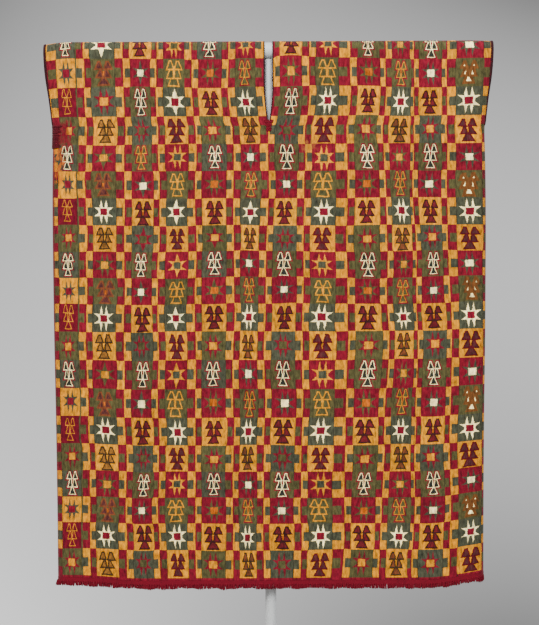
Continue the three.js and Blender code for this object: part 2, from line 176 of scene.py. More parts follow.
def clothSwell(across, along):
    # Outward swell: each soft fold is a bell across the cloth that grows towards the hem, each
    # crease a small long bell, and over them lies the unevenness of hand weaving
    down = np.abs(along)
    grown = np.zeros(np.broadcast(across, along).shape)
    for face, folds in clothFolds.items():
        onFace = along < 0 if face == "front" else along >= 0
        for middle, wide, deep, start in zip(*(folds[k] for k in ("across", "wide", "deep", "start"))):
            bell = np.exp(-((across - middle * mm) / (wide * mm)) ** 2)
            grow = smoothStep(down, start * mm, clothForm["webLength"])
            grown = grown + np.where(onFace, deep * mm * bell * grow, 0)
    names = ("across", "down", "long", "wide", "deep", "lean")
    for middle, level, half, wide, deep, lean in zip(*(clothCreases[k] for k in names)):
        flip = np.where(along < 0, 1, -1)
        dx, dy = across * flip - middle * mm, down - level * mm
        run = (dy + lean * dx) / math.hypot(1, lean)
        off = (dx - lean * dy) / math.hypot(1, lean)
        grown = grown + deep * mm * np.exp(-(run / (half * mm)) ** 2 - (off / (wide * mm)) ** 2)
    k = clothCockle
    cockle = sum(size * mm * softNoise(across, along, wave * mm, seed)
                 for size, wave, seed in (k["broad"], k["fine"]))
    calm, top = smoothStep(flatHalf(down) - np.abs(across), 0, k["sides"] * mm), k["ridge"]
    return (grown + cockle) * calm * smoothStep(down, top[0] * mm, top[1] * mm)


def clothMiddle(side, reach, along):
    # Middle of the wall. side is -1 or 1, reach runs from the slit line to that side, and along from
    # the front hem, below 0, over the ridge at 0, to the back hem
    down = np.abs(along)
    half, turn, flat = readLevels("half", down), readLevels("turn", down), flatHalf(down)
    opening = np.interp(down, np.array(slitOpening["down"]) * mm, np.array(slitOpening["half"]) * mm)
    shift = opening * (1 - clothForm["shiftLost"] * np.maximum(reach, 0) / half)
    radius = (half - flat) / np.maximum(turn * math.pi / 2, 1e-4)
    angle = np.maximum(reach - flat, 0) / radius
    x = shift + np.minimum(reach, flat) + radius * np.sin(angle)
    inward = radius * (1 - np.cos(angle))
    onBar = np.minimum(down, ridgeArc) / ridgeRadius
    stand = np.where(down < ridgeArc, ridgeRadius * np.sin(onBar), readLevels("stand", down))
    out = stand - inward + clothSwell(side * reach, along)
    sag = np.where(side < 0, clothForm["sagLeft"], clothForm["sagRight"])
    past = np.clip((reach - clothForm["sagFrom"]) / (half - clothForm["sagFrom"]), 0, 1.2)
    drop = sag * past ** 2 * np.clip(1 - down / clothForm["sagFade"], 0, 1)
    leftRise, rightRise = (size * mm * smoothStep(reach, start * mm, end * mm)
                           for size, start, end in (hemRise["left"], hemRise["right"]))
    rise = np.where(side < 0, leftRise, rightRise)
    rise = rise * smoothStep(down, hemRise["startDown"] * mm, clothForm["webLength"])
    z = bar["height"] + ridgeRadius * np.cos(onBar) - np.maximum(down - ridgeArc, 0) - drop + rise
    return np.stack([side * x, np.where(along < 0, -1, 1) * out, z], axis=-1)


def clothPoint(side, reach, along, out):
    # The wall's middle, moved out along its normal, which two short steps over the cloth give
    step = 0.4 * mm
    side, reach, along, out = np.broadcast_arrays(side, reach, along, out)
    across = clothMiddle(side, reach + step, along) - clothMiddle(side, reach - step, along)
    up = clothMiddle(side, reach, along + step) - clothMiddle(side, reach, along - step)
    normal = np.cross(across * side[..., None], up)
    normal /= np.linalg.norm(normal, axis=-1, keepdims=True)
    return clothMiddle(side, reach, along) + normal * out[..., None]


# Shader expressions: a Wire wraps an output socket, and arithmetic on it adds Math nodes
def mathPair(operation):
    # An operator and its reflected form, so that both wire - 1 and 1 - wire work
    return lambda a, b: a.calc(operation, a, b), lambda a, b: a.calc(operation, b, a)


class Wire:
    def __init__(self, paint, socket):
        self.paint, self.socket = paint, socket

    def calc(self, operation, *values):
        return self.paint.add("ShaderNodeMath", {"operation": operation}, dict(enumerate(values)))

    __add__, __radd__ = mathPair("ADD")
    __sub__, __rsub__ = mathPair("SUBTRACT")
    __mul__, __rmul__ = mathPair("MULTIPLY")
    __truediv__, __rtruediv__ = mathPair("DIVIDE")

    def __abs__(self):
        return self.calc("ABSOLUTE", self)

    def low(self, other):
        return self.calc("MINIMUM", self, other)

    def high(self, other):
        return self.calc("MAXIMUM", self, other)

    def power(self, count):
        # A whole power, as a product
        result = 1.0
        for _ in range(count):
            result = self * result
        return result

    def sine(self):
        return self.calc("SINE", self)

    def floor(self):
        return self.calc("FLOOR", self)

    def part(self, name):
        # One number of a vector
        split = self.paint.add("ShaderNodeSeparateXYZ", {}, {0: self})
        return Wire(self.paint, split.socket.node.outputs["XYZ".index(name)])

    def within(self, start, end):
        # 0 to 1 as the value goes from start to end, clamped
        sockets = {0: self, 1: start, 2: end, 3: 0.0, 4: 1.0}
        return self.paint.add("ShaderNodeMapRange", {"clamp": True}, sockets)


class Paint:
    def __init__(self, name, sky=False):
        self.material = (bpy.data.worlds if sky else bpy.data.materials).new(name)
        self.material.use_nodes = True
        self.tree = self.material.node_tree
        self.tree.nodes.clear()
        output = self.tree.nodes.new("ShaderNodeOutputWorld" if sky else "ShaderNodeOutputMaterial")
        self.shader = self.tree.nodes.new("ShaderNodeBackground" if sky else "ShaderNodeBsdfPrincipled")
        self.tree.links.new(self.shader.outputs[0], output.inputs[0])

    def add(self, kind, settings, inputs, output=0):
        # Any node: its settings come first, then the values or links of its sockets
        node = self.tree.nodes.new(kind)
        for name, value in settings.items():
            setattr(node, name, value)
        for name, value in inputs.items():
            self.give(node.inputs[name], value)
        return Wire(self, node.outputs[output])

    def give(self, socket, value):
        if isinstance(value, Wire):
            self.tree.links.new(value.socket, socket)
        else:
            socket.default_value = value

    def set(self, **values):
        for name, value in values.items():
            self.give(self.shader.inputs[name.replace("_", " ")], value)

    def join(self, x, y, z=0.0):
        return self.add("ShaderNodeCombineXYZ", {}, {0: x, 1: y, 2: z})

    def mix(self, first, second, factor):
        return self.add("ShaderNodeMix", {"data_type": "RGBA"}, {0: factor, 6: first, 7: second}, 2)

    def scale(self, colour, factor):
        return self.add("ShaderNodeVectorMath", {"operation": "SCALE"}, {0: colour, 3: factor})

    def tint(self, colour, other):
        return self.add("ShaderNodeVectorMath", {"operation": "MULTIPLY"}, {0: colour, 1: other})

    def noise(self, vector, scale, detail=2.0):
        return self.add("ShaderNodeTexNoise", {}, {"Vector": vector, "Scale": scale, "Detail": detail})

    def place(self):
        return self.add("ShaderNodeTexCoord", {}, {}, 3)

    def layer(self, name):
        # A UV map of the piece
        return self.add("ShaderNodeUVMap", {"uv_map": name}, {})

    def attribute(self, name, output=0):
        return self.add("ShaderNodeAttribute", {"attribute_name": name}, {}, output)

    def bump(self, height, strength, distance):
        sockets = {"Strength": strength, "Distance": distance, "Height": height}
        self.set(Normal=self.add("ShaderNodeBump", {}, sockets))


def linear(red, green, blue):
    # Screen colour, 0 to 255, to the linear values that shaders take
    c = np.array([red, green, blue]) / 255
    return tuple(np.where(c <= 0.04045, c / 12.92, ((c + 0.055) / 1.055) ** 2.4)) + (1.0,)


yarnColours = {
    "gold": (188, 120, 0), "orange": (162, 78, 4), "ivory": (255, 233, 162),
    "crimson": (102, 10, 28), "madder": (70, 6, 18), "wine": (88, 6, 24), "hem": (94, 5, 23),
    "plum": (90, 20, 26), "mauve": (66, 30, 31), "purple": (48, 16, 16), "dusk": (40, 10, 16),
    "olive": (66, 62, 34), "blueGreen": (57, 58, 43), "deepBlue": (34, 36, 30),
    "umber": (124, 80, 28), "rust": (92, 54, 22), "russet": (98, 50, 26), "brown": (46, 32, 16),
}
yarns = {name: linear(*colour) for name, colour in yarnColours.items()}


def gridQuads(ids):
    # Quads between the points of a grid, whose numbers ids holds
    return np.stack([ids[:-1, :-1], ids[:-1, 1:], ids[1:, 1:], ids[1:, :-1]], axis=2)


def tubeFaces(steps, sides):
    # Faces of a tube of so many rings, capped at both ends
    ring = np.arange(steps * sides).reshape(steps, sides)
    quads = gridQuads(np.concatenate([ring, ring[:, :1]], axis=1)).reshape(-1, 4)
    return quads.tolist() + [ring[0, ::-1].tolist(), ring[-1].tolist()]


sharpDegrees = 52   # edges that turn more than this stay sharp


def makeObject(name, points, faces, paint, rides=True):
    mesh = bpy.data.meshes.new(name)
    mesh.from_pydata(points, [], faces)
    mesh.materials.append(paint)
    mesh.shade_smooth()
    mesh.set_sharp_from_angle(angle=math.radians(sharpDegrees))
    piece = bpy.data.objects.new(name, mesh)
    bpy.context.scene.collection.objects.link(piece)
    if rides:
        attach(piece, "root")
    return piece


# The chart of the web. A column holds four cells that repeat down the cloth: the figure, then the
# yarns of the ground, the figure, its heart or fill, and for some birds the edge round it. A figure
# has a girth, and a bird also a heavy outline or none, and a mark: 1 is a drop, -1 a broad outline
webFigures = {
    "star": {"girth": 1.0},
    "starThin": {"girth": 0.75},
    "bird": {"girth": 0.05},
    "birdWide": {"girth": 0.92},
    "birdFull": {"girth": 1.0, "heavy": 1},
    "birdDrop": {"girth": 1.0, "heavy": 1, "mark": 1},
    "birdSpots": {"girth": 0.85, "mark": -1},
}
ivoryBird = ("bird", "olive", "ivory", "deepBlue", "crimson")
ivoryBirdCool = ("bird", "blueGreen", "ivory", "deepBlue", "crimson")
goldBird = ("bird", "olive", "gold", "olive", "crimson")
wideBird = ("birdWide", "olive", "gold", "olive")
plumBird = ("birdFull", "gold", "madder", "mauve")
brownBird = ("birdFull", "gold", "brown", "russet")
dropBird = ("birdDrop", "gold", "purple", "plum")
ivoryStar = ("star", "blueGreen", "ivory", "crimson")
goldStar = ("star", "crimson", "gold", "blueGreen")
goldStarWarm = ("star", "crimson", "gold", "olive")
redStar = ("star", "olive", "crimson", "gold")
redStarCool = ("star", "blueGreen", "crimson", "gold")
redStarDark = ("star", "blueGreen", "crimson", "olive")
goldHeart = ("starThin", "crimson", "olive", "gold")
orangeHeart = ("starThin", "crimson", "olive", "orange")
ivoryHeart = ("starThin", "crimson", "blueGreen", "ivory")
webChart = [
    [ivoryBirdCool, ("star", "gold", "blueGreen", "crimson"), ("bird", "wine", "gold", "wine"), redStar],
    [goldHeart, ("birdDrop", "olive", "russet", "mauve"), ivoryStar, ("birdFull", "gold", "brown", "umber")],
    [ivoryBird, ivoryHeart, dropBird, redStarDark],
    [goldStar, wideBird, ivoryStar, plumBird],
    [ivoryBirdCool, orangeHeart, dropBird, redStar],
    [ivoryHeart, goldBird, ivoryStar, brownBird],
    [ivoryBird, ivoryHeart, dropBird, redStarDark],
    [goldStar, wideBird, ivoryStar, plumBird],
    [ivoryBird, orangeHeart, dropBird, redStar],
    [goldHeart, goldBird, ivoryStar, brownBird],
    [ivoryBird, ivoryHeart, dropBird, redStarCool],
    [ivoryHeart, ("birdSpots", "olive", "rust", "ivory"), ivoryStar, plumBird],
]
# Cells where the weaver left the repeat, by row from the ridge and by column
webChanges = {
    (0, 1): ivoryStar, (0, 2): dropBird, (0, 3): goldStarWarm, (0, 5): goldStar, (0, 6): dropBird,
    (1, 6): goldHeart, (2, 1): redStarCool, (2, 2): ivoryBird, (2, 6): ivoryBird, (4, 2): goldBird,
}
# Stars with six points in place of eight, by row and column
sixPointed = {(0, 1), (1, 2), (2, 3), (4, 1), (4, 5), (5, 2), (6, 3), (6, 5), (7, 2), (7, 4), (8, 3),
              (8, 5), (9, 2), (9, 4), (10, 3), (12, 1), (12, 3), (13, 2), (-4, 8), (-7, 3), (-9, 5), (-12, 7)}
# The web's layout in millimetres. Row heights run down the front from the ridge, and the edges
# between columns are given at three distances down, with the share of a column each pillar takes.
webLayout = {
    "overRidge": 8.6,
    "frontRows": [43.6, 44.1, 45.4, 42.7, 41.9, 43.1, 41.7, 39.4, 40.5, 41.3,
                  42.6, 44.2, 44.8, 44.4, 42.0, 41.3, 40.8, 40.1, 41.0, 42.5],
    "border": 3.7,
    "levels": [100, 457, 840],
    "yoke": [-282, -220.6, -168.1, -112.6, -56.2, 0, 56.5, 120.6, 175.6, 220.4, 272.6],
    "middle": [-283.8, -226.4, -173.6, -114.8, -55.3, -7.3, 51.4, 121.6, 185.3, 228.9, 281.3],
    "hem": [-276, -221.3, -171.2, -115.9, -58.3, -11.8, 45.3, 110.1, 166.3, 218.6, 275.5],
    "leftPillar": [0.29, 0.16, 0.21, 0.19, 0.16, 0.20, 0.17, 0.15, 0.19, 0.19, 0.15, 0.20],
    "rightPillar": [0.22, 0.21, 0.17, 0.21, 0.19, 0.22, 0.19, 0.27, 0.16, 0.12, 0.16, 0.18],
    "rowSteps": 8,
    "ridgeSteps": 12,
    "pillarSteps": 2,
    "endPillarSteps": 5,
    "cellSteps": 7,
    "columnWobble": 1.2,
    "rowWobble": 1.1,
    "columnStep": 1.1,   # how far a row's upright edges may step from those of the next row
    "rowStep": 0.8,
    "wobbleLong": 160,   # wavelength of the columns' wobble down the web, and of the rows' below
    "rowWobbleLong": 190,
    "slitCalm": 30,      # how far from the slit line the rows' wobble fades in
    "endCalm": 30,       # how far from the hem it fades out
    # The rows are drawn up beside the slit, on its right: how far, and the middle and size of the place
    "pull": {"up": 4.2, "across": 22, "wide": 34, "down": 34, "tall": 30, "fade": 6},
    "girthSpread": (0.85, 1.1), "toneSpread": (0.9, 1.1),   # from one cell to another
    "shiftAcross": 0.035, "shiftAlong": 0.025, "sizeSpread": (0.94, 1.05),
    "seed": 11,
}
rowCount, columnCount = len(webLayout["frontRows"]), len(webLayout["leftPillar"])


def rowLines():
    # Lines of the net along the web, from the front hem over the ridge to the back hem. Each strip
    # between two lines belongs to a row, and has the row's height share at its two lines. The
    # last row on each face is the plain border at its hem.
    k = webLayout
    hem, top = clothForm["webLength"], k["overRidge"] * mm
    lastRow = hem - k["border"] * mm
    edges = -np.concatenate([[0], np.cumsum(k["frontRows"])])
    edges = top + edges * (lastRow + top) / -edges[-1]
    backEdges = np.linspace(top, lastRow, len(edges))
    lines, rows, starts, ends = [-hem], [], [], []
    order = [(rowCount, -hem, edges[-1], 1)]
    order += [(r, edges[r + 1], edges[r], 1) for r in range(rowCount - 1, -1, -1)]
    order += [(-1 - r, backEdges[r], backEdges[r + 1], -1) for r in range(rowCount)]
    order += [(-1 - rowCount, lastRow, hem, -1)]
    for row, low, top, way in order:
        steps = k["ridgeSteps"] if row in (0, -1) else k["rowSteps"]
        if row in (rowCount, -1 - rowCount):
            steps = 1
        share = np.linspace(0, 1, steps + 1)
        cuts = low + (top - low) * share
        for foot in (-clothForm["openEnd"], clothForm["openEnd"]):
            if low < foot < top:
                cuts[1 + np.argmin(abs(cuts[1:-1] - foot))] = foot
        share = (cuts - low) / (top - low)
        share = 1 - share if way > 0 else share
        lines += list(cuts[1:])
        rows += [row] * steps
        starts += list(share[:-1])
        ends += list(share[1:])
    return np.array(lines), np.array(rows), np.array(starts), np.array(ends)


def besideLines(strips):
    # Values of strips to values of the lines between them: the mean of the strips at both sides
    return (np.concatenate([strips[:1], strips]) + np.concatenate([strips, strips[-1:]])) / 2


def columnLines(along, rows):
    # Lines across the web at each of the lines along it, with each strip's column, its block (left
    # pillar 0, cell 1, right pillar 2) and its share of that block at both sides
    k = webLayout
    rng = np.random.default_rng(k["seed"] + 2)
    step = besideLines(rng.uniform(-1, 1, (2 * rowCount + 2, columnCount, 3))[rows]) * k["columnStep"] * mm
    down = np.abs(along)
    half = readLevels("half", down)
    levels = np.array(k["levels"]) * mm
    inner = [np.interp(down, levels, np.array([k["yoke"][i], k["middle"][i], k["hem"][i]]) * mm)
             for i in range(columnCount - 1)]
    edges = np.stack([-half, *inner, half], axis=1)
    apart = np.arange(columnCount + 1)[None, :] * 0.9   # in the noise, so that no two wobble alike
    wobble = softNoise(apart, along[:, None], k["wobbleLong"] * mm, k["seed"])
    edges[:, 1:-1] += k["columnWobble"] * mm * wobble[:, 1:-1] + step[:, 1:, 0]
    edges[down <= clothForm["openEnd"] + 1e-9, columnCount // 2] = 0
    lines, columns, blocks, starts, ends = [edges[:, 0]], [], [], [], []
    for c in range(columnCount):
        left, right = edges[:, c], edges[:, c + 1]
        inside = left + (right - left) * k["leftPillar"][c] + step[:, c, 1]
        outside = right - (right - left) * k["rightPillar"][c] + step[:, c, 2]
        parts = [(left, inside, k["endPillarSteps"] if c == 0 else k["pillarSteps"]),
                 (inside, outside, k["cellSteps"]),
                 (outside, right, k["endPillarSteps"] if c == columnCount - 1 else k["pillarSteps"])]
        for block, (a, b, steps) in enumerate(parts):
            share = np.linspace(0, 1, steps + 1)
            lines += [a + (b - a) * s for s in share[1:]]
            columns += [c] * steps
            blocks += [block] * steps
            outward = 1 - share if block == 0 else share
            starts += list(outward[:-1])
            ends += list(outward[1:])
    split = columns.index(columnCount // 2)
    strips = (np.array(values) for values in (columns, blocks, starts, ends))
    return np.stack(lines, axis=1), *strips, split


def closedWall(outer, inner, quads):
    # A wall: the net's outer points, its inner points, and a rim along the net's open edges, which
    # are those that only one quad has, each in its quad's direction
    edges = np.stack([quads, np.roll(quads, -1, axis=1)], axis=2).reshape(-1, 2)
    key = np.sort(edges, axis=1)
    _, first, count = np.unique(key, axis=0, return_index=True, return_counts=True)
    rim = edges[first[count == 1]]
    n = len(outer)
    rimQuads = np.stack([rim[:, 1], rim[:, 0], rim[:, 0] + n, rim[:, 1] + n], axis=1)
    return np.concatenate([outer, inner]), np.concatenate([quads, quads[:, ::-1] + n, rimQuads])


def giveFaces(mesh, name, values):
    # A value for each face: a colour of four numbers, or a vector of three
    kind, field = ("FLOAT_COLOR", "color") if values.shape[1] == 4 else ("FLOAT_VECTOR", "vector")
    mesh.attributes.new(name, kind, "FACE").data.foreach_set(field, values.astype(np.float32).ravel())


def giveMap(mesh, name, corners):
    # A UV map from two numbers for each corner of each quad
    mesh.uv_layers.new(name=name).data.foreach_set("uv", corners.astype(np.float32).ravel())


def plainCell(yarn):
    # No figure: one yarn four times, no kind, and the form and shift of a cell as drawn
    return (yarn,) * 4 + ((0, 0, 0), (1, 0, 0), (0, 0, 1))


def chartCells(rows, columns, blocks):
    # What the chart puts on every strip: four yarns, the kind of figure, its form and its shift
    k = webLayout
    rng = np.random.default_rng(k["seed"])
    table = {}
    for row in range(-rowCount - 1, rowCount + 1):
        for column in range(columnCount):
            if row in (-rowCount - 1, rowCount):
                for block in range(3):
                    table[row, column, block] = plainCell("crimson")
                continue
            name, ground, figure, heart, *edge = webChanges.get((row, column), webChart[column][row % 4])
            motif, isBird = webFigures[name], name.startswith("bird")
            girth = motif["girth"] * rng.uniform(*k["girthSpread"])
            shift = (rng.uniform(-1, 1) * k["shiftAcross"], rng.uniform(-1, 1) * k["shiftAlong"],
                     rng.uniform(*k["sizeSpread"]))
            special = max(motif.get("heavy", 0), (row, column) in sixPointed)
            table[row, column, 1] = (ground, figure, heart, edge[0] if edge else ground,
                                     (not isBird, isBird, 0), (girth, special, motif.get("mark", 0)), shift)
            for block in (0, 2):
                starBlock = isBird if (column, block) == (0, 0) else not isBird
                pillar, square = ("gold", "blueGreen") if starBlock else ("crimson", "olive")
                lined = float((column, block) == (0, 2))
                table[row, column, block] = (pillar, square, square, "olive", (0, 0, 1), (1, 0, lined), shift)
    tone = {key: rng.uniform(*k["toneSpread"]) for key in table}
    grid = [table[r, c, b] for r in rows for c, b in zip(columns, blocks)]
    tones = np.array([tone[r, c, b] for r in rows for c, b in zip(columns, blocks)])[:, None]
    fields = {}
    for i, name in enumerate(("ground", "figure", "heart", "edge", "kind", "form", "shift")):
        fields[name] = np.array([yarns.get(cell[i], cell[i]) for cell in grid], float)
        if i < 4:
            fields[name][:, :3] *= tones
    return fields


def makeWeb(paint):
    # The whole web, folded over the bar, open at the slit
    along, rows, lowShare, highShare = rowLines()
    across, columns, blocks, leftShare, rightShare, split = columnLines(along, rows)
    k = webLayout
    nearSlit = 1 - np.exp(-(across / (k["slitCalm"] * mm)) ** 2)
    wobble = softNoise(across, along[:, None], k["rowWobbleLong"] * mm, k["seed"] + 1)
    sway = k["rowWobble"] * mm * wobble * nearSlit
    up, middle, wide, level, tall, fade = (value * mm for value in k["pull"].values())
    pull = up * np.exp(-((across - middle) / wide) ** 2) * (across > 0)
    pull = pull * np.exp(-((along[:, None] + level) / tall) ** 2) * smoothStep(across, 0, fade)
    rng = np.random.default_rng(k["seed"] + 3)
    edgeSteps = rng.uniform(-1, 1, (3 * columnCount, 2 * rowCount + 3))[columns * 3 + blocks]
    edgeSteps = besideLines(edgeSteps).T * k["rowStep"] * mm
    lineShare = np.concatenate([lowShare[:1], highShare])[:, None]
    lineRow = np.concatenate([rows[:1], rows]) + rowCount + 1
    sway += edgeSteps[lineRow] * np.clip(1 - 2 * lineShare, 0, 1) * nearSlit
    sway += edgeSteps[lineRow + 1] * np.clip(2 * lineShare - 1, 0, 1) * nearSlit
    ends = smoothStep(clothForm["webLength"] - np.abs(along), 0, k["endCalm"] * mm)[:, None]
    alongNet = along[:, None] + (sway + pull) * ends
    side = np.where(across < 0, -1, 1)
    both = [(across[:, half], alongNet[:, half], side[:, half].copy())
            for half in (slice(split + 1), slice(split, None))]
    # Both halves hold the points of the slit line: one set of points below the slit, two along it
    slitRows = np.abs(along) < clothForm["openEnd"] - 1e-9
    both[0][2][slitRows, -1] = -1
    both[1][2][slitRows, 0] = 1
    leftIds, rightIds = (np.arange(x.size).reshape(x.shape) for x, _, _ in both)
    rightIds += leftIds.size
    rightIds[~slitRows, 0] = leftIds[~slitRows, -1]

    def wallFace(out):
        # A point past the slit line counts as a reach below 0
        halves = [clothPoint(s, np.abs(x) * np.where(x * s < -1e-9, -1, 1), y, out) for x, y, s in both]
        return np.concatenate([points.reshape(-1, 3) for points in halves])

    outer, inner = wallFace(clothForm["wall"] / 2), wallFace(-clothForm["wall"] / 2)
    quads = np.concatenate([gridQuads(leftIds), gridQuads(rightIds)], axis=1).reshape(-1, 4)
    used, quads = np.unique(quads, return_inverse=True)
    quads = quads.reshape(-1, 4)
    points, faces = closedWall(outer[used], inner[used], quads)
    piece = makeObject("tunic_web", points, faces.tolist(), paint)
    mesh = piece.data
    rimCount = len(faces) - 2 * len(quads)
    for (name, values), rim in zip(chartCells(rows, columns, blocks).items(), plainCell("madder")):
        rimValues = np.tile(yarns.get(rim, rim), (rimCount, 1))
        giveFaces(mesh, name, np.concatenate([values, values, rimValues]))
    low, high = np.repeat(lowShare, len(columns)), np.repeat(highShare, len(columns))
    left, right = np.tile(leftShare, len(rows)), np.tile(rightShare, len(rows))
    cell = np.stack([left, low, right, low, right, high, left, high], axis=1).reshape(-1, 4, 2)
    flat = np.concatenate([np.stack([x, y], axis=2).reshape(-1, 2) for x, y, _ in both])[used]
    rimIds = faces[2 * len(quads):] % len(used)
    giveMap(mesh, "cell", np.concatenate([cell, cell[:, ::-1], np.full((rimCount, 4, 2), 0.5)]))
    giveMap(mesh, "cloth", np.concatenate([flat[quads], flat[quads[:, ::-1]], flat[rimIds]]))
    return piece


# Figures in shares of a cell from its middle. Where a value has two numbers or more, they are a base
# and what it gains with full girth, with full girth in a plain cell, and in a special cell: one whose
# star has six points or whose bird has a heavy outline
edgeSoft = 0.008
starForm = {
    "upFoot": 0.15, "upLong": 0.36, "upApart": 0.11, "upHalf": (0.071, 0, 0, 0.055), "upGirth": (0.35, 0.65),
    "sideFoot": 0.17, "sideLong": 0.23, "sideApart": 0.1, "sideSpread": 0.1, "sideHalf": (0.035, 0.05),
    "blockAcross": (0.13, 0.09), "blockAlong": (0.12, 0.045),
    "heartAcross": (0.11, 0.05), "heartAlong": (0.12, 0.03),
}
# A bird's three tiers from above. Each widens from its apex to its base, and all but the lowest
# stand in a pair: place across of apex and base, heights of both, and half widths of both
birdTiers = {
    "head": [(0.145, 0.03), (0.145, 0.05), (-0.5, 0.02), (-0.17, 0.06), (0.035, 0.03), (0.135, 0.07)],
    "wing": [(0.085, 0.01), (0.125, 0.05), (-0.22, 0, -0.05), (0.18, 0.04), (0.035, 0, 0.06), (0.125, 0.06)],
    "tail": [(0,), (0,), (0.17, 0, -0.17, -0.04), (0.48, 0.04), (0.035, 0, 0.07, 0.03), (0.18, 0.1)],
}
birdForm = {"line": (0.025, 0.025, 0, 0.016), "spotLine": 0.075, "edge": 0.058,
            "dropSteep": 1.6, "dropMiddle": 0.02, "dropFlat": 0.62, "dropSize": 0.05}
pillarForm = {"squareFrom": 0.76, "squareHalf": 0.17, "linedTo": 0.16}
# Lengths here are in metres, and the others are shares of a cell
weave = {
    "tall": 1.14,                   # figures are drawn in a cell this much taller than it is wide
    "wander": (0.08, 0.07, 0.08),   # of edges across and along, and of a pillar's square
    "tremble": 0.02,
    "threads": (330, 700),          # threads a metre across and along
    "ribPitch": 1.3 * mm,
    "bump": (0.55, 0.5 * mm),       # strength and depth
    "height": {"ribs": 0.5, "fine": 0.5, "threads": 0.12, "joins": -0.6},
    # joins: a dark line along the upright sides of every cell and pillar, painted shadow of the slits where
    # two colours meet; its yarn is the colour of that painted shadow
    "joins": {"from": 0.468, "to": 0.488, "least": 0.25, "cover": 0.7, "yarn": linear(26, 18, 16)},
    "selvage": {"left": 332.5 * mm, "right": 337 * mm, "fade": 2 * mm, "from": 150 * mm, "to": 180 * mm,
                "cover": 0.85},
    "warmth": (0.28, -0.12, -0.4),  # how far red, green and blue swing
    "patches": (14, 0.3),           # broad patches a metre, and how far they swing the tone
    "mendRagged": 0.02, "mendSoft": 0.003, "mendFade": 0.08,
}
# Streaks of yarn: how many a metre across and along, their detail, and how far they swing the tone
streaks = {
    "fine": {"across": 1300, "along": 90, "detail": 1.0, "tone": 1.0},
    "weft": {"across": 280, "along": 110, "detail": 2.0, "tone": 2.0},
    "coarse": {"across": 170, "along": 30, "detail": 2.0, "tone": 0.8},
    "hue": {"across": 150, "along": 24, "detail": 3.0, "start": 9},
    "hatch": {"across": 520, "along": 260, "detail": 1.0, "from": 0.5, "to": 0.6, "cover": 0.45},
}
# Darned and worn places on the front, in metres across and down: at the left underarm a dark darn
# with worn weft below it, and a small darn beside the slit. A mend starts at a level of the weft.
webMends = [
    {"across": -0.322, "half": 0.013, "down": 0.150, "tall": 0.018, "yarn": "hem",
     "from": 0.35, "cover": 0.85},
    {"across": -0.327, "half": 0.009, "down": 0.199, "tall": 0.028, "yarn": "orange",
     "from": 0.44, "cover": 0.75},
    {"across": 0.062, "half": 0.012, "down": 0.168, "tall": 0.008, "yarn": "umber",
     "from": 0.45, "cover": 0.5},
]


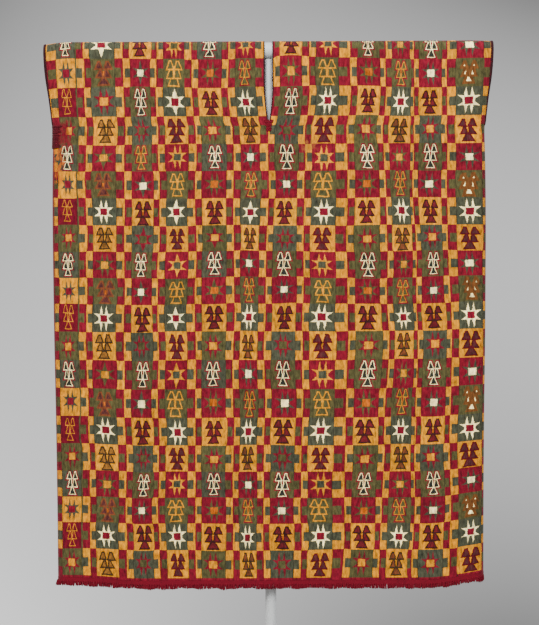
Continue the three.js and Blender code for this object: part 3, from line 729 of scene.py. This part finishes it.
def paintWeb():
    # Woven figures from distances: under 0 is inside. Points of a star are pairs of narrowing
    # spikes, mirrored; a bird is three tiers of triangles, the upper two mirrored.
    p = Paint("webCloth")
    cell, cloth = p.layer("cell"), p.layer("cloth")
    shift, form, kind = p.attribute("shift", 1), p.attribute("form", 1), p.attribute("kind", 1)
    s, t = cloth.part("X"), cloth.part("Y")
    wander, other = p.noise(cloth, 70.0, 2.0), p.noise(p.join(t + 0.37, s + 0.11), 60.0, 2.0)
    dense = weave["threads"]
    threads = p.add("ShaderNodeTexWhiteNoise", {"noise_dimensions": "2D"},
                    {0: p.join((s * dense[0]).floor(), (t * dense[1]).floor())}, 0)
    tremble = (threads - 0.5) * weave["tremble"]
    size = shift.part("Z")
    stray = weave["wander"]
    x = (cell.part("X") - 0.5 + shift.part("X") + (wander - 0.5) * stray[0] + tremble) / size
    y = cell.part("Y") - 0.5 + shift.part("Y") + (other - 0.5) * stray[1]
    y = (y * weave["tall"] + tremble * 0.5) / size
    ax, ay = abs(x), abs(y)
    girth, special, mark = form.part("X"), form.part("Y"), form.part("Z")
    gains = (girth, girth * (1 - special), special)

    def amount(value):
        # A base, and what this cell adds to it
        return sum((gain * share for gain, share in zip(gains, value[1:]) if share), value[0])

    def inside(distance, soft=edgeSoft):
        return distance.within(soft, -soft)

    def streak(name):
        k = streaks[name]
        return p.noise(p.join(s * k["across"] + k.get("start", 0), t * k["along"]), 1.0, k["detail"])

    def boxed(across, along):
        return (ax - amount(across)).high(ay - amount(along))

    k = starForm
    upShare = ((ay - k["upFoot"]) / k["upLong"]).high(0)
    upHalf = (1 - upShare) * amount(k["upHalf"]) * amount(k["upGirth"])
    up = abs(ax - k["upApart"] * (1 - special)) - upHalf
    outShare = ((ax - k["sideFoot"]) / k["sideLong"]).high(0)
    out = abs(ay - k["sideApart"] - outShare * k["sideSpread"]) - (1 - outShare) * amount(k["sideHalf"])
    starMask = inside(up.low(out).low(boxed(k["blockAcross"], k["blockAlong"])))
    heartMask = inside(boxed(k["heartAcross"], k["heartAlong"]))

    def tier(name):
        # A triangle with a blunt apex, whose middle line leans from apexAcross to baseAcross
        apexAcross, baseAcross, apex, base, tip, half = (amount(value) for value in birdTiers[name])
        run = (y - apex) / (base - apex)
        line = apexAcross + (baseAcross - apexAcross) * run
        return (abs(ax - line) - tip - run * (half - tip)).high(y - base).high(apex - y)

    k = birdForm
    head, wing, tail = tier("head"), tier("wing"), tier("tail")
    bird = head.low(wing).low(tail)
    birdMask, birdEdge = inside(bird), inside(bird - k["edge"])
    line = amount(k["line"]) + (0 - mark).high(0) * k["spotLine"]
    wingFill, tailFill = (wing + line).high(edgeSoft - head), (tail + line).high(edgeSoft - wing)
    hatch = streak("hatch").within(streaks["hatch"]["from"], streaks["hatch"]["to"]) * special
    birdFill = inside((head + line).low(wingFill).low(tailFill)) * (1 - hatch * streaks["hatch"]["cover"])
    drop = (ax * k["dropSteep"]).high(abs(y - k["dropMiddle"]) * k["dropFlat"]) - k["dropSize"]
    drop = inside(drop) * mark.high(0)

    k = pillarForm
    beside = abs(cell.part("Y") - 0.5 + (other - 0.5) * stray[2]) - k["squareHalf"]
    square = inside((cell.part("X") - k["squareFrom"]).high(beside))
    lined = inside(cell.part("X") - k["linedTo"]) * mark

    isStar, isBird, isPillar = kind.part("X"), kind.part("Y"), kind.part("Z")
    colour = p.mix(p.attribute("ground"), p.attribute("edge"), isBird * birdEdge + isPillar * lined)
    figure = isStar * starMask + isBird * birdMask + isPillar * square
    colour = p.mix(colour, p.attribute("figure"), figure.low(1))
    colour = p.mix(colour, p.attribute("heart"), isStar * heartMask + isBird * birdFill)
    colour = p.mix(colour, yarns["orange"], isBird * drop)

    yarn = {name: streak(name) for name in ("fine", "weft", "coarse")}
    for k in webMends:
        away = (abs(s - k["across"]) - k["half"]).high(abs(t + k["down"]) - k["tall"])
        mend = inside(away + (wander - 0.5) * weave["mendRagged"], weave["mendSoft"])
        mend = mend * yarn["weft"].within(k["from"], k["from"] + weave["mendFade"])
        colour = p.mix(colour, yarns[k["yarn"]], mend * k["cover"])
    patches, swing = weave["patches"]
    tone = 1 + sum((value - 0.5) * streaks[name]["tone"] for name, value in yarn.items())
    colour = p.scale(colour, tone + (p.noise(cloth, patches, 2.0) - 0.5) * swing)
    hue = streak("hue") - 0.5
    colour = p.tint(colour, p.join(*(1 + hue * swing for swing in weave["warmth"])))

    # Painted shadow of the slits: a dark line of uneven strength along the upright sides of every cell and
    # pillar. The same lines are also a shallow groove in the bump below.
    k = weave["joins"]
    slack = p.noise(cloth, 55.0, 1.0).within(0.42, 0.6)
    joins = abs(cell.part("X") - 0.5).within(k["from"], k["to"]) * (k["least"] + slack * (1 - k["least"]))
    colour = p.mix(colour, k["yarn"], joins * k["cover"])
    k = weave["selvage"]
    selvage = (0 - s - k["left"]).within(0, k["fade"]).high((s - k["right"]).within(0, k["fade"]))
    colour = p.mix(colour, yarns["hem"], selvage * abs(t).within(k["from"], k["to"]) * k["cover"])

    ribs = (t * (math.tau / weave["ribPitch"])).sine() * 0.5 + 0.5
    reliefs = {"ribs": ribs, "fine": yarn["fine"], "threads": threads, "joins": joins}
    p.bump(sum(reliefs[name] * high for name, high in weave["height"].items()), *weave["bump"])
    p.set(Base_Color=colour, Roughness=0.78 + yarn["coarse"] * 0.2, Sheen_Weight=0.05, Sheen_Roughness=0.5,
          Specular_IOR_Level=0.12)
    return p.material


web = makeWeb(paintWeb())
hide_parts("front_web", "back_web")
print("web woven", len(web.data.polygons), "quads")


# Stitched edgings: a rounded band along an edge, whose section swells once a stitch, aslant
def stitchedBand(name, section, along, form, paint, sides=12):
    # section gives, for the angle round the band and the place along it, a point for a given swell
    angle = np.linspace(0, math.tau, sides, endpoint=False)
    distance = along - along[0]
    phase = distance[:, None] / (form["pitch"] * mm) + form["slant"] * angle[None, :] / math.tau
    swell = 1 + form["relief"] * (np.abs(np.sin(math.pi * phase)) ** 0.7 - 0.6)
    ends = np.minimum(distance, distance[-1] - distance) / (1.5 * mm)
    swell = swell * np.sqrt(np.clip(ends, 0.02, 1))[:, None]
    points = section(angle[None, :], along[:, None], swell)
    return makeObject(name, points.reshape(-1, 3), tubeFaces(len(along), sides), paint)


def paintYarn(name, base, fleck, fleckAmount, upright=1.0):
    # Twisted yarn: fuzz that upright stretches into streaks, and flecks of another yarn here and there
    p = Paint(name)
    place = p.place()
    fuzz = p.noise(p.join(place.part("X"), place.part("Y"), place.part("Z") * upright), 900.0, 2.0)
    broad = p.noise(place, 90.0, 2.0)
    spots = p.noise(place, 260.0, 1.0).within(0.62, 0.68) * fleckAmount
    colour = p.mix(yarns[base], yarns[fleck], spots)
    colour = p.scale(colour, 0.72 + fuzz * 0.35 + broad * 0.3)
    p.bump(fuzz, 0.5, 0.0003)
    p.set(Base_Color=colour, Roughness=0.85 + fuzz * 0.12, Sheen_Weight=0.03, Specular_IOR_Level=0.15)
    return p.material


bandYarn = paintYarn("edgingYarn", "dusk", "madder", 0.7)
barYarn = paintYarn("barYarn", "hem", "madder", 0.7)
patchYarn = paintYarn("patchYarn", "madder", "hem", 0.6)
seamYarn = paintYarn("seamYarn", "madder", "gold", 0.9)
stripYarn = paintYarn("stripYarn", "hem", "madder", 0.5, 0.12)
fringeYarn = paintYarn("fringeYarn", "hem", "madder", 0.8, 0.12)

# The edgings of the slit and of the armholes: how far they lap the web and reach past its edge
edgingForms = {
    "neck": {"lap": 0.2, "over": 1.7, "pitch": 1.7, "relief": 0.28, "end": 132, "thick": 2.1,
             "slant": 0.5, "way": -1},
    "arm": {"lap": 3.2, "over": 1.3, "pitch": 1.9, "relief": 0.22, "end": 140, "thick": 3.4,
            "slant": 0.5, "way": 1},
}


def edging(name, side, word):
    # A flattened ellipse round an edge of the web. The way past the edge is towards the slit line,
    # below a reach of 0, or out at the side, past the web's half width
    k = edgingForms[name]
    along = np.arange(-k["end"], k["end"], k["pitch"] / 6) * mm

    def section(angle, place, swell):
        edge = readLevels("half", np.abs(place)) if k["way"] > 0 else 0
        middle, half = k["way"] * (k["over"] - k["lap"]) / 2 * mm, (k["over"] + k["lap"]) / 2 * mm
        reach = edge + middle + half * np.cos(angle) * swell
        out = k["way"] * side * np.sin(angle) * k["thick"] / 2 * mm * swell
        return clothPoint(side, reach, place + 0 * angle, out)

    return stitchedBand(name + "_edging_" + word, section, along, k, bandYarn)


sideSeam = {"half": 1.15, "deep": 1.1, "outward": 0.1, "pitch": 2.4, "relief": 0.3, "slant": 0.6,
            "leftTop": 168, "rightTop": 139, "end": 848.5}


def seam(side, word):
    # Down the side: an ellipse on the line where the front and the back meet
    k = sideSeam
    top = k["leftTop"] if side < 0 else k["rightTop"]
    along = -np.arange(top, k["end"], k["pitch"] / 5) * mm

    def section(angle, place, swell):
        line = clothMiddle(side, readLevels("half", np.abs(place)), place)
        x = line[..., 0] + side * (k["outward"] + k["half"] * np.cos(angle) * swell) * mm
        y = np.sin(angle) * side * -k["deep"] * mm * swell
        return np.stack(np.broadcast_arrays(x, y, line[..., 2]), axis=-1)

    return stitchedBand("side_seam_yarn_" + word, section, along, k, seamYarn)


for side, word in ((-1, "left"), (1, "right")):
    for piece, node in ((edging("neck", side, word), "neck_band_"), (edging("arm", side, word), "arm_band_"),
                        (seam(side, word), "side_seam_")):
        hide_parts(node + word)


# Stitched bars: a ladder of threads, each a tube along a line over the cloth
def threadTubes(name, lines, radius, paint, sides=7):
    # lines is threads x points x 3; every thread becomes a tube that thins at its ends
    lines = np.asarray(lines)
    count, steps, _ = lines.shape
    ahead = np.gradient(lines, axis=1)
    ahead /= np.linalg.norm(ahead, axis=2, keepdims=True)
    ref = np.where(np.abs(ahead[..., 2:3]) > 0.8, [[[1.0, 0, 0]]], [[[0, 0, 1.0]]])
    u = np.cross(ahead, ref)
    u /= np.linalg.norm(u, axis=2, keepdims=True)
    v = np.cross(ahead, u)
    share = np.linspace(0, 1, steps)
    thin = np.sqrt(np.clip(1 - np.abs(2 * share - 1) ** 6, 0.04, 1))[None, :, None, None]
    angle = np.linspace(0, math.tau, sides, endpoint=False)[None, None, :, None]
    wide = np.broadcast_to(np.asarray(radius, float).reshape(-1, 1, 1, 1), (count, 1, 1, 1))
    points = lines[:, :, None] + wide * thin * (np.cos(angle) * u[:, :, None] + np.sin(angle) * v[:, :, None])
    ring = np.arange(count * steps * sides).reshape(count, steps, sides)
    nextRing = np.roll(ring, -1, axis=2)
    quads = np.stack([nextRing[:, :-1], nextRing[:, 1:], ring[:, 1:], ring[:, :-1]], axis=3).reshape(-1, 4)
    caps = ring[:, 0, ::-1].tolist() + ring[:, -1].tolist()
    return makeObject(name, points.reshape(-1, 3), quads.tolist() + caps, paint)


neckTack = {"half": 4.4, "from": 131, "to": 147, "threads": 11, "radius": 0.85, "lift": 1.4}
underarmTack = {"from": 138, "to": 172, "threads": 19, "radius": 1.05, "lift": 1.55, "lap": 20.0}


def neckBar(face, word):
    # Threads straight across the foot of the slit, one below another
    k = neckTack
    rng = np.random.default_rng(21 if face < 0 else 22)
    down = np.linspace(k["from"], k["to"], k["threads"])[:, None] * mm
    x = np.linspace(-1, 1, 9)[None, :] * k["half"] * mm * rng.uniform(0.85, 1.15, (k["threads"], 1))
    down = down + rng.uniform(-0.25, 0.25, down.shape) * mm
    lift = (k["lift"] - 0.5 * np.linspace(-1, 1, 9)[None, :] ** 4) * mm + 0 * down
    lines = clothPoint(np.where(x < 0, -1, 1), np.abs(x), face * down + 0 * x, lift)
    return threadTubes("neck_bar_" + word, lines, k["radius"] * mm, barYarn)


def underarmBar():
    # Threads that wrap the left side from the front to the back at the armhole's foot
    k = underarmTack
    rng = np.random.default_rng(23)
    down = np.linspace(k["from"], k["to"], k["threads"])[:, None] * mm
    share = np.linspace(-1, 1, 15)[None, :]
    back = np.abs(share) * k["lap"] * mm * rng.uniform(0.85, 1.12, (k["threads"], 1))
    level = down + rng.uniform(-0.3, 0.3, down.shape) * mm + 0 * share
    reach = readLevels("half", level) - back + 0.6 * mm * (np.abs(share) < 0.01)
    lift = (k["lift"] - 0.6 * share ** 4) * mm
    lines = clothPoint(-1, reach, np.where(share < 0, -1, 1) * level, lift)
    return threadTubes("underarm_bar_left", lines, k["radius"] * mm, patchYarn)


for face, word in ((-1, "front"), (1, "back")):
    neckBar(face, word)
    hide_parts("neck_tack_" + word)
underarmBar()
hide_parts("underarm_tack_left")
print("bars stitched")

hemFringe = {
    "strip": 6.0, "thick": 2.2, "join": 0.15, "acrossSteps": 300, "downSteps": 4,
    "strands": 760, "radius": 0.95, "length": 9.0, "ragged": 0.5, "uneven": 1.1, "spread": 0.7, "seed": 31,
    "rowDepth": 0.75,    # how far the outer and inner rows of strands stand from the middle
    "foot": 1.6,         # how far inside the strip's lower edge a strand starts
    "level": 849,        # how far down the web its width is read for the strands
    "flare": 3.2,        # how far the fringe spreads past the cloth at its left end
    "flareWide": 9,
    "ripple": 0.12, "rippleTurns": 900,
}


def hemStrip(face):
    # The woven strip below the web, a closed wall with a ripple for each thread
    k = hemFringe
    across = np.linspace(-1, 1, k["acrossSteps"])
    down = clothForm["webLength"] + np.linspace(k["join"], k["strip"], k["downSteps"]) * mm
    a, d = np.meshgrid(across, down)
    reach = readLevels("half", d) * np.abs(a)
    side = np.where(a < 0, -1, 1)
    ripple = k["ripple"] * mm * np.sin(a * k["rippleTurns"])
    ripple = ripple * np.sin(math.pi * (d - down[0]) / (down[-1] - down[0]))
    quads = gridQuads(np.arange(a.size).reshape(a.shape)).reshape(-1, 4)
    if face < 0:
        quads = quads[:, ::-1]
    outer, inner = (clothPoint(side, reach, face * d, out + ripple * sign).reshape(-1, 3)
                    for out, sign in ((k["thick"] / 2 * mm, 1), (-k["thick"] / 2 * mm, -1)))
    return closedWall(outer, inner, quads)


def hemStrands(face):
    # Lines of the fringe: each strand leaves the strip, then leans and curls a little on its own
    k = hemFringe
    rng = np.random.default_rng(k["seed"] + face)
    n = k["strands"]
    start = np.linspace(-0.998, 0.998, n) + rng.normal(0, 0.0005, n)
    row = np.array([1, -1, 0])[np.arange(n) % 3] * k["rowDepth"] * mm
    wave = k["uneven"] * softNoise(start * 0.34, 0 * start, 0.03, k["seed"] + 5 + face)
    length = (k["length"] + wave + k["ragged"] * rng.uniform(-1, 1, n)) * mm
    lean, bow = rng.normal(0, k["spread"], (2, n)) * mm
    share = np.linspace(0, 1, 7)[None, :]
    down = clothForm["webLength"] + (k["strip"] - k["foot"]) * mm + length[:, None] * share
    a = np.clip(start, -0.999, 0.999)[:, None] + 0 * share
    half = readLevels("half", np.full((n, 1), k["level"] * mm))
    side = np.where(a < 0, -1, 1)
    sway = lean[:, None] * share ** 1.5 + 0.4 * bow[:, None] * np.sin(share * math.pi)
    reach = half * np.abs(a) + side * sway
    out = row[:, None] + bow[:, None] * 0.5 * share ** 1.3 + 0 * a
    reach = np.minimum(reach, half)
    lines = clothPoint(side, reach, face * down, out)
    nearEnd = np.exp(-(1 + a) * half / (k["flareWide"] * mm))
    lines[..., 0] -= k["flare"] * mm * nearEnd * (0.3 + 0.7 * share)
    return lines, k["radius"] * mm * rng.uniform(0.8, 1.2, n)


def makeFringe(face, word):
    # The strip and its strands on one face
    points, faces = hemStrip(face)
    strip = makeObject("hem_strip_" + word, points, faces.tolist(), stripYarn)
    lines, radius = hemStrands(face)
    strands = threadTubes("hem_strands_" + word, lines, radius, fringeYarn, sides=6)
    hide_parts("hem_fringe_" + word)
    return [strip, strands]


fringes = makeFringe(-1, "front") + makeFringe(1, "back")
print("fringe hung")


# The stand: profiles turned round an axis
def turned(name, profile, paint, place, steps=96, axis="z"):
    # Each point of the profile, a distance from the axis and a place along it, becomes a circle
    r, h = np.array(profile, float).T
    angle = np.linspace(0, math.tau, steps, endpoint=False)
    x, y = r[:, None] * np.cos(angle), r[:, None] * np.sin(angle)
    z = np.broadcast_to(h[:, None], x.shape)
    parts = [x, y, z] if axis == "z" else [z, x, y]
    points = np.stack(parts, axis=-1).reshape(-1, 3) + np.array(place)
    return makeObject(name, points, tubeFaces(len(r), steps), paint)


def roundCorner(middle, radius, start, end, steps=6):
    # Points of an arc round the middle, between two angles in degrees
    angle = np.radians(np.linspace(start, end, steps))
    return [(middle[0] + radius * math.cos(a), middle[1] + radius * math.sin(a)) for a in angle]


standForm = {
    "edge": 9.0, "crown": 13.0, "bevel": 2.5, "pole": 0.5,   # pole closes a profile beside its axis
    "bossFoot": 26.0, "bossTop": 18.0, "bossRound": 1.2, "bossHollow": 1.8,
    "paint": linear(182, 184, 184), "rubbed": linear(172, 174, 175),
}


def paintStand():
    # Satin paint: a fine orange-peel surface and faint rubbed patches
    p = Paint("standPaint")
    place = p.place()
    peel = p.noise(place, 420.0, 2.0)
    rubbed = p.noise(place, 9.0, 3.0)
    colour = p.mix(standForm["paint"], standForm["rubbed"], rubbed.within(0.35, 0.7))
    p.bump(peel, 0.12, 0.0004)
    p.set(Base_Color=colour, Roughness=0.34 + rubbed * 0.16, Specular_IOR_Level=0.5)
    return p.material


def makeStand():
    # Profiles in millimetres: the plate's bevelled edge, its crown, a hollow cone up to the boss
    k = standForm
    paint = paintStand()
    baseHigh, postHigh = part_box("stand_base")[1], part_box("stand_post")[1]
    radius, bevel, soft = baseHigh.x / mm, k["bevel"], k["bossRound"]
    base = [(k["pole"], 0), (radius - bevel, 0)] + roundCorner((radius - bevel, bevel), bevel, -90, 0)
    base += roundCorner((radius - bevel, k["edge"] - bevel), bevel, 0, 84)
    share = np.linspace(0, 1, 12)[1:]
    rise = k["edge"] + (k["crown"] - k["edge"]) * share
    base += list(zip(radius - bevel + (k["bossFoot"] - radius + bevel) * share, rise))
    share = np.linspace(0, 1, 9)[1:]
    topHeight = baseHigh.z / mm
    neck = k["bossTop"] + (k["bossFoot"] - k["bossTop"]) * (1 - share) ** k["bossHollow"]
    base += list(zip(neck, k["crown"] + (topHeight - soft - k["crown"]) * share))
    base += roundCorner((k["bossTop"] - soft, topHeight - soft), soft, 10, 90) + [(k["pole"], topHeight)]
    post = [(postHigh.x, baseHigh.z), (postHigh.x, postHigh.z)]
    tip = roundCorner((0, barHigh.x - bar["radius"]), bar["radius"], 0, 88, 9)
    tube = [(a, -b) for a, b in tip[::-1]] + tip
    pieces = {
        "stand_base": turned("stand_foot_plate", np.array(base) * mm, paint, (0, 0, 0)),
        "stand_post": turned("stand_pole", post, paint, (0, 0, 0), 64),
        "stand_crossbar": turned("stand_arm", tube, paint, (0, 0, bar["height"]), 64, "x"),
    }
    for node, piece in pieces.items():
        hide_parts(node)


makeStand()
print("stand turned")

# Studio: a pale floor that fades into a plain grey surround, and soft lights
studio = {
    "floorRadius": 3.0, "fadeFrom": 0.4, "fadeTo": 1.5,
    "floor": linear(170, 168, 165),
    "aimAt": (0, 0, 0.7),
    "around": 0.5, "middle": 0.78,   # the surround's grey away from the line of sight, and on it
    "driftFade": (0.13, 0.3), "driftAcross": 0.105, "driftUp": 0.12,   # how far out the drift goes
    "drift": {(1, 0): -0.86, (0, 1): 0.43, (1, 1): 15.61, (2, 0): -3.12, (0, 2): -18.92,
              (3, 0): 73.18, (0, 3): -54.71, (2, 1): -150.22, (1, 2): -150.55},
}


def makeFloor():
    # A flat disc that fades out with the distance from its middle
    p = Paint("studioFloor")
    place = p.place()
    away = p.add("ShaderNodeVectorMath", {"operation": "LENGTH"}, {0: place}, 1)
    grain = p.noise(place, 60.0, 3.0)
    shade = p.scale(studio["floor"][:3], 0.97 + grain * 0.05)
    p.set(Base_Color=shade, Roughness=0.75, Alpha=1 - away.within(studio["fadeFrom"], studio["fadeTo"]))
    angle = np.linspace(0, math.tau, 96, endpoint=False)
    disc = np.stack([np.cos(angle), np.sin(angle), 0 * angle], axis=1) * studio["floorRadius"]
    makeObject("studio_floor", disc, [list(range(len(disc)))], p.material, rides=False)


def makeSurround():
    # Plain grey whose shade drifts with the direction: a cubic in the direction's x and z near the
    # line of sight, and one shade everywhere else
    sky = Paint("studio", sky=True)
    direction = sky.add("ShaderNodeTexCoord", {}, {}, 0)
    x, z = direction.part("X"), direction.part("Z")
    near = 1 - abs(x).high(abs(z)).within(*studio["driftFade"])
    across, up = studio["driftAcross"], studio["driftUp"]
    x, z = x.high(-across).low(across), z.high(-up).low(up)
    terms = (x.power(a) * z.power(b) * value for (a, b), value in studio["drift"].items())
    shade = sum(terms, studio["middle"])
    shade = studio["around"] + (shade - studio["around"]) * near
    sky.set(Color=sky.join(shade, shade, shade), Strength=1.0)
    bpy.context.scene.world = sky.material


studioLights = {
    "key": {"at": (-1.1, -2.1, 2.9), "size": 1.7, "power": 185.0, "tone": (1.0, 0.985, 0.96)},
    "fill": {"at": (1.7, -2.3, 2.3), "size": 2.0, "power": 92.0, "tone": (0.97, 0.985, 1.0)},
    "backLeft": {"at": (-2.2, 2.6, 2.4), "size": 2.0, "power": 95.0, "tone": (1.0, 0.99, 0.97)},
    "backRight": {"at": (2.4, 2.4, 1.6), "size": 2.0, "power": 60.0, "tone": (0.98, 0.99, 1.0)},
}


def makeLights():
    # Round area lights, each turned towards the same point
    middle = Vector(studio["aimAt"])
    for name, k in studioLights.items():
        data = bpy.data.lights.new(name, "AREA")
        data.shape, data.size = "DISK", k["size"]
        data.energy, data.color = k["power"], k["tone"]
        light = bpy.data.objects.new(name, data)
        light.location = k["at"]
        light.rotation_euler = (middle - Vector(k["at"])).to_track_quat("-Z", "Y").to_euler()
        bpy.context.scene.collection.objects.link(light)


makeFloor()
makeSurround()
makeLights()
print("studio lit")
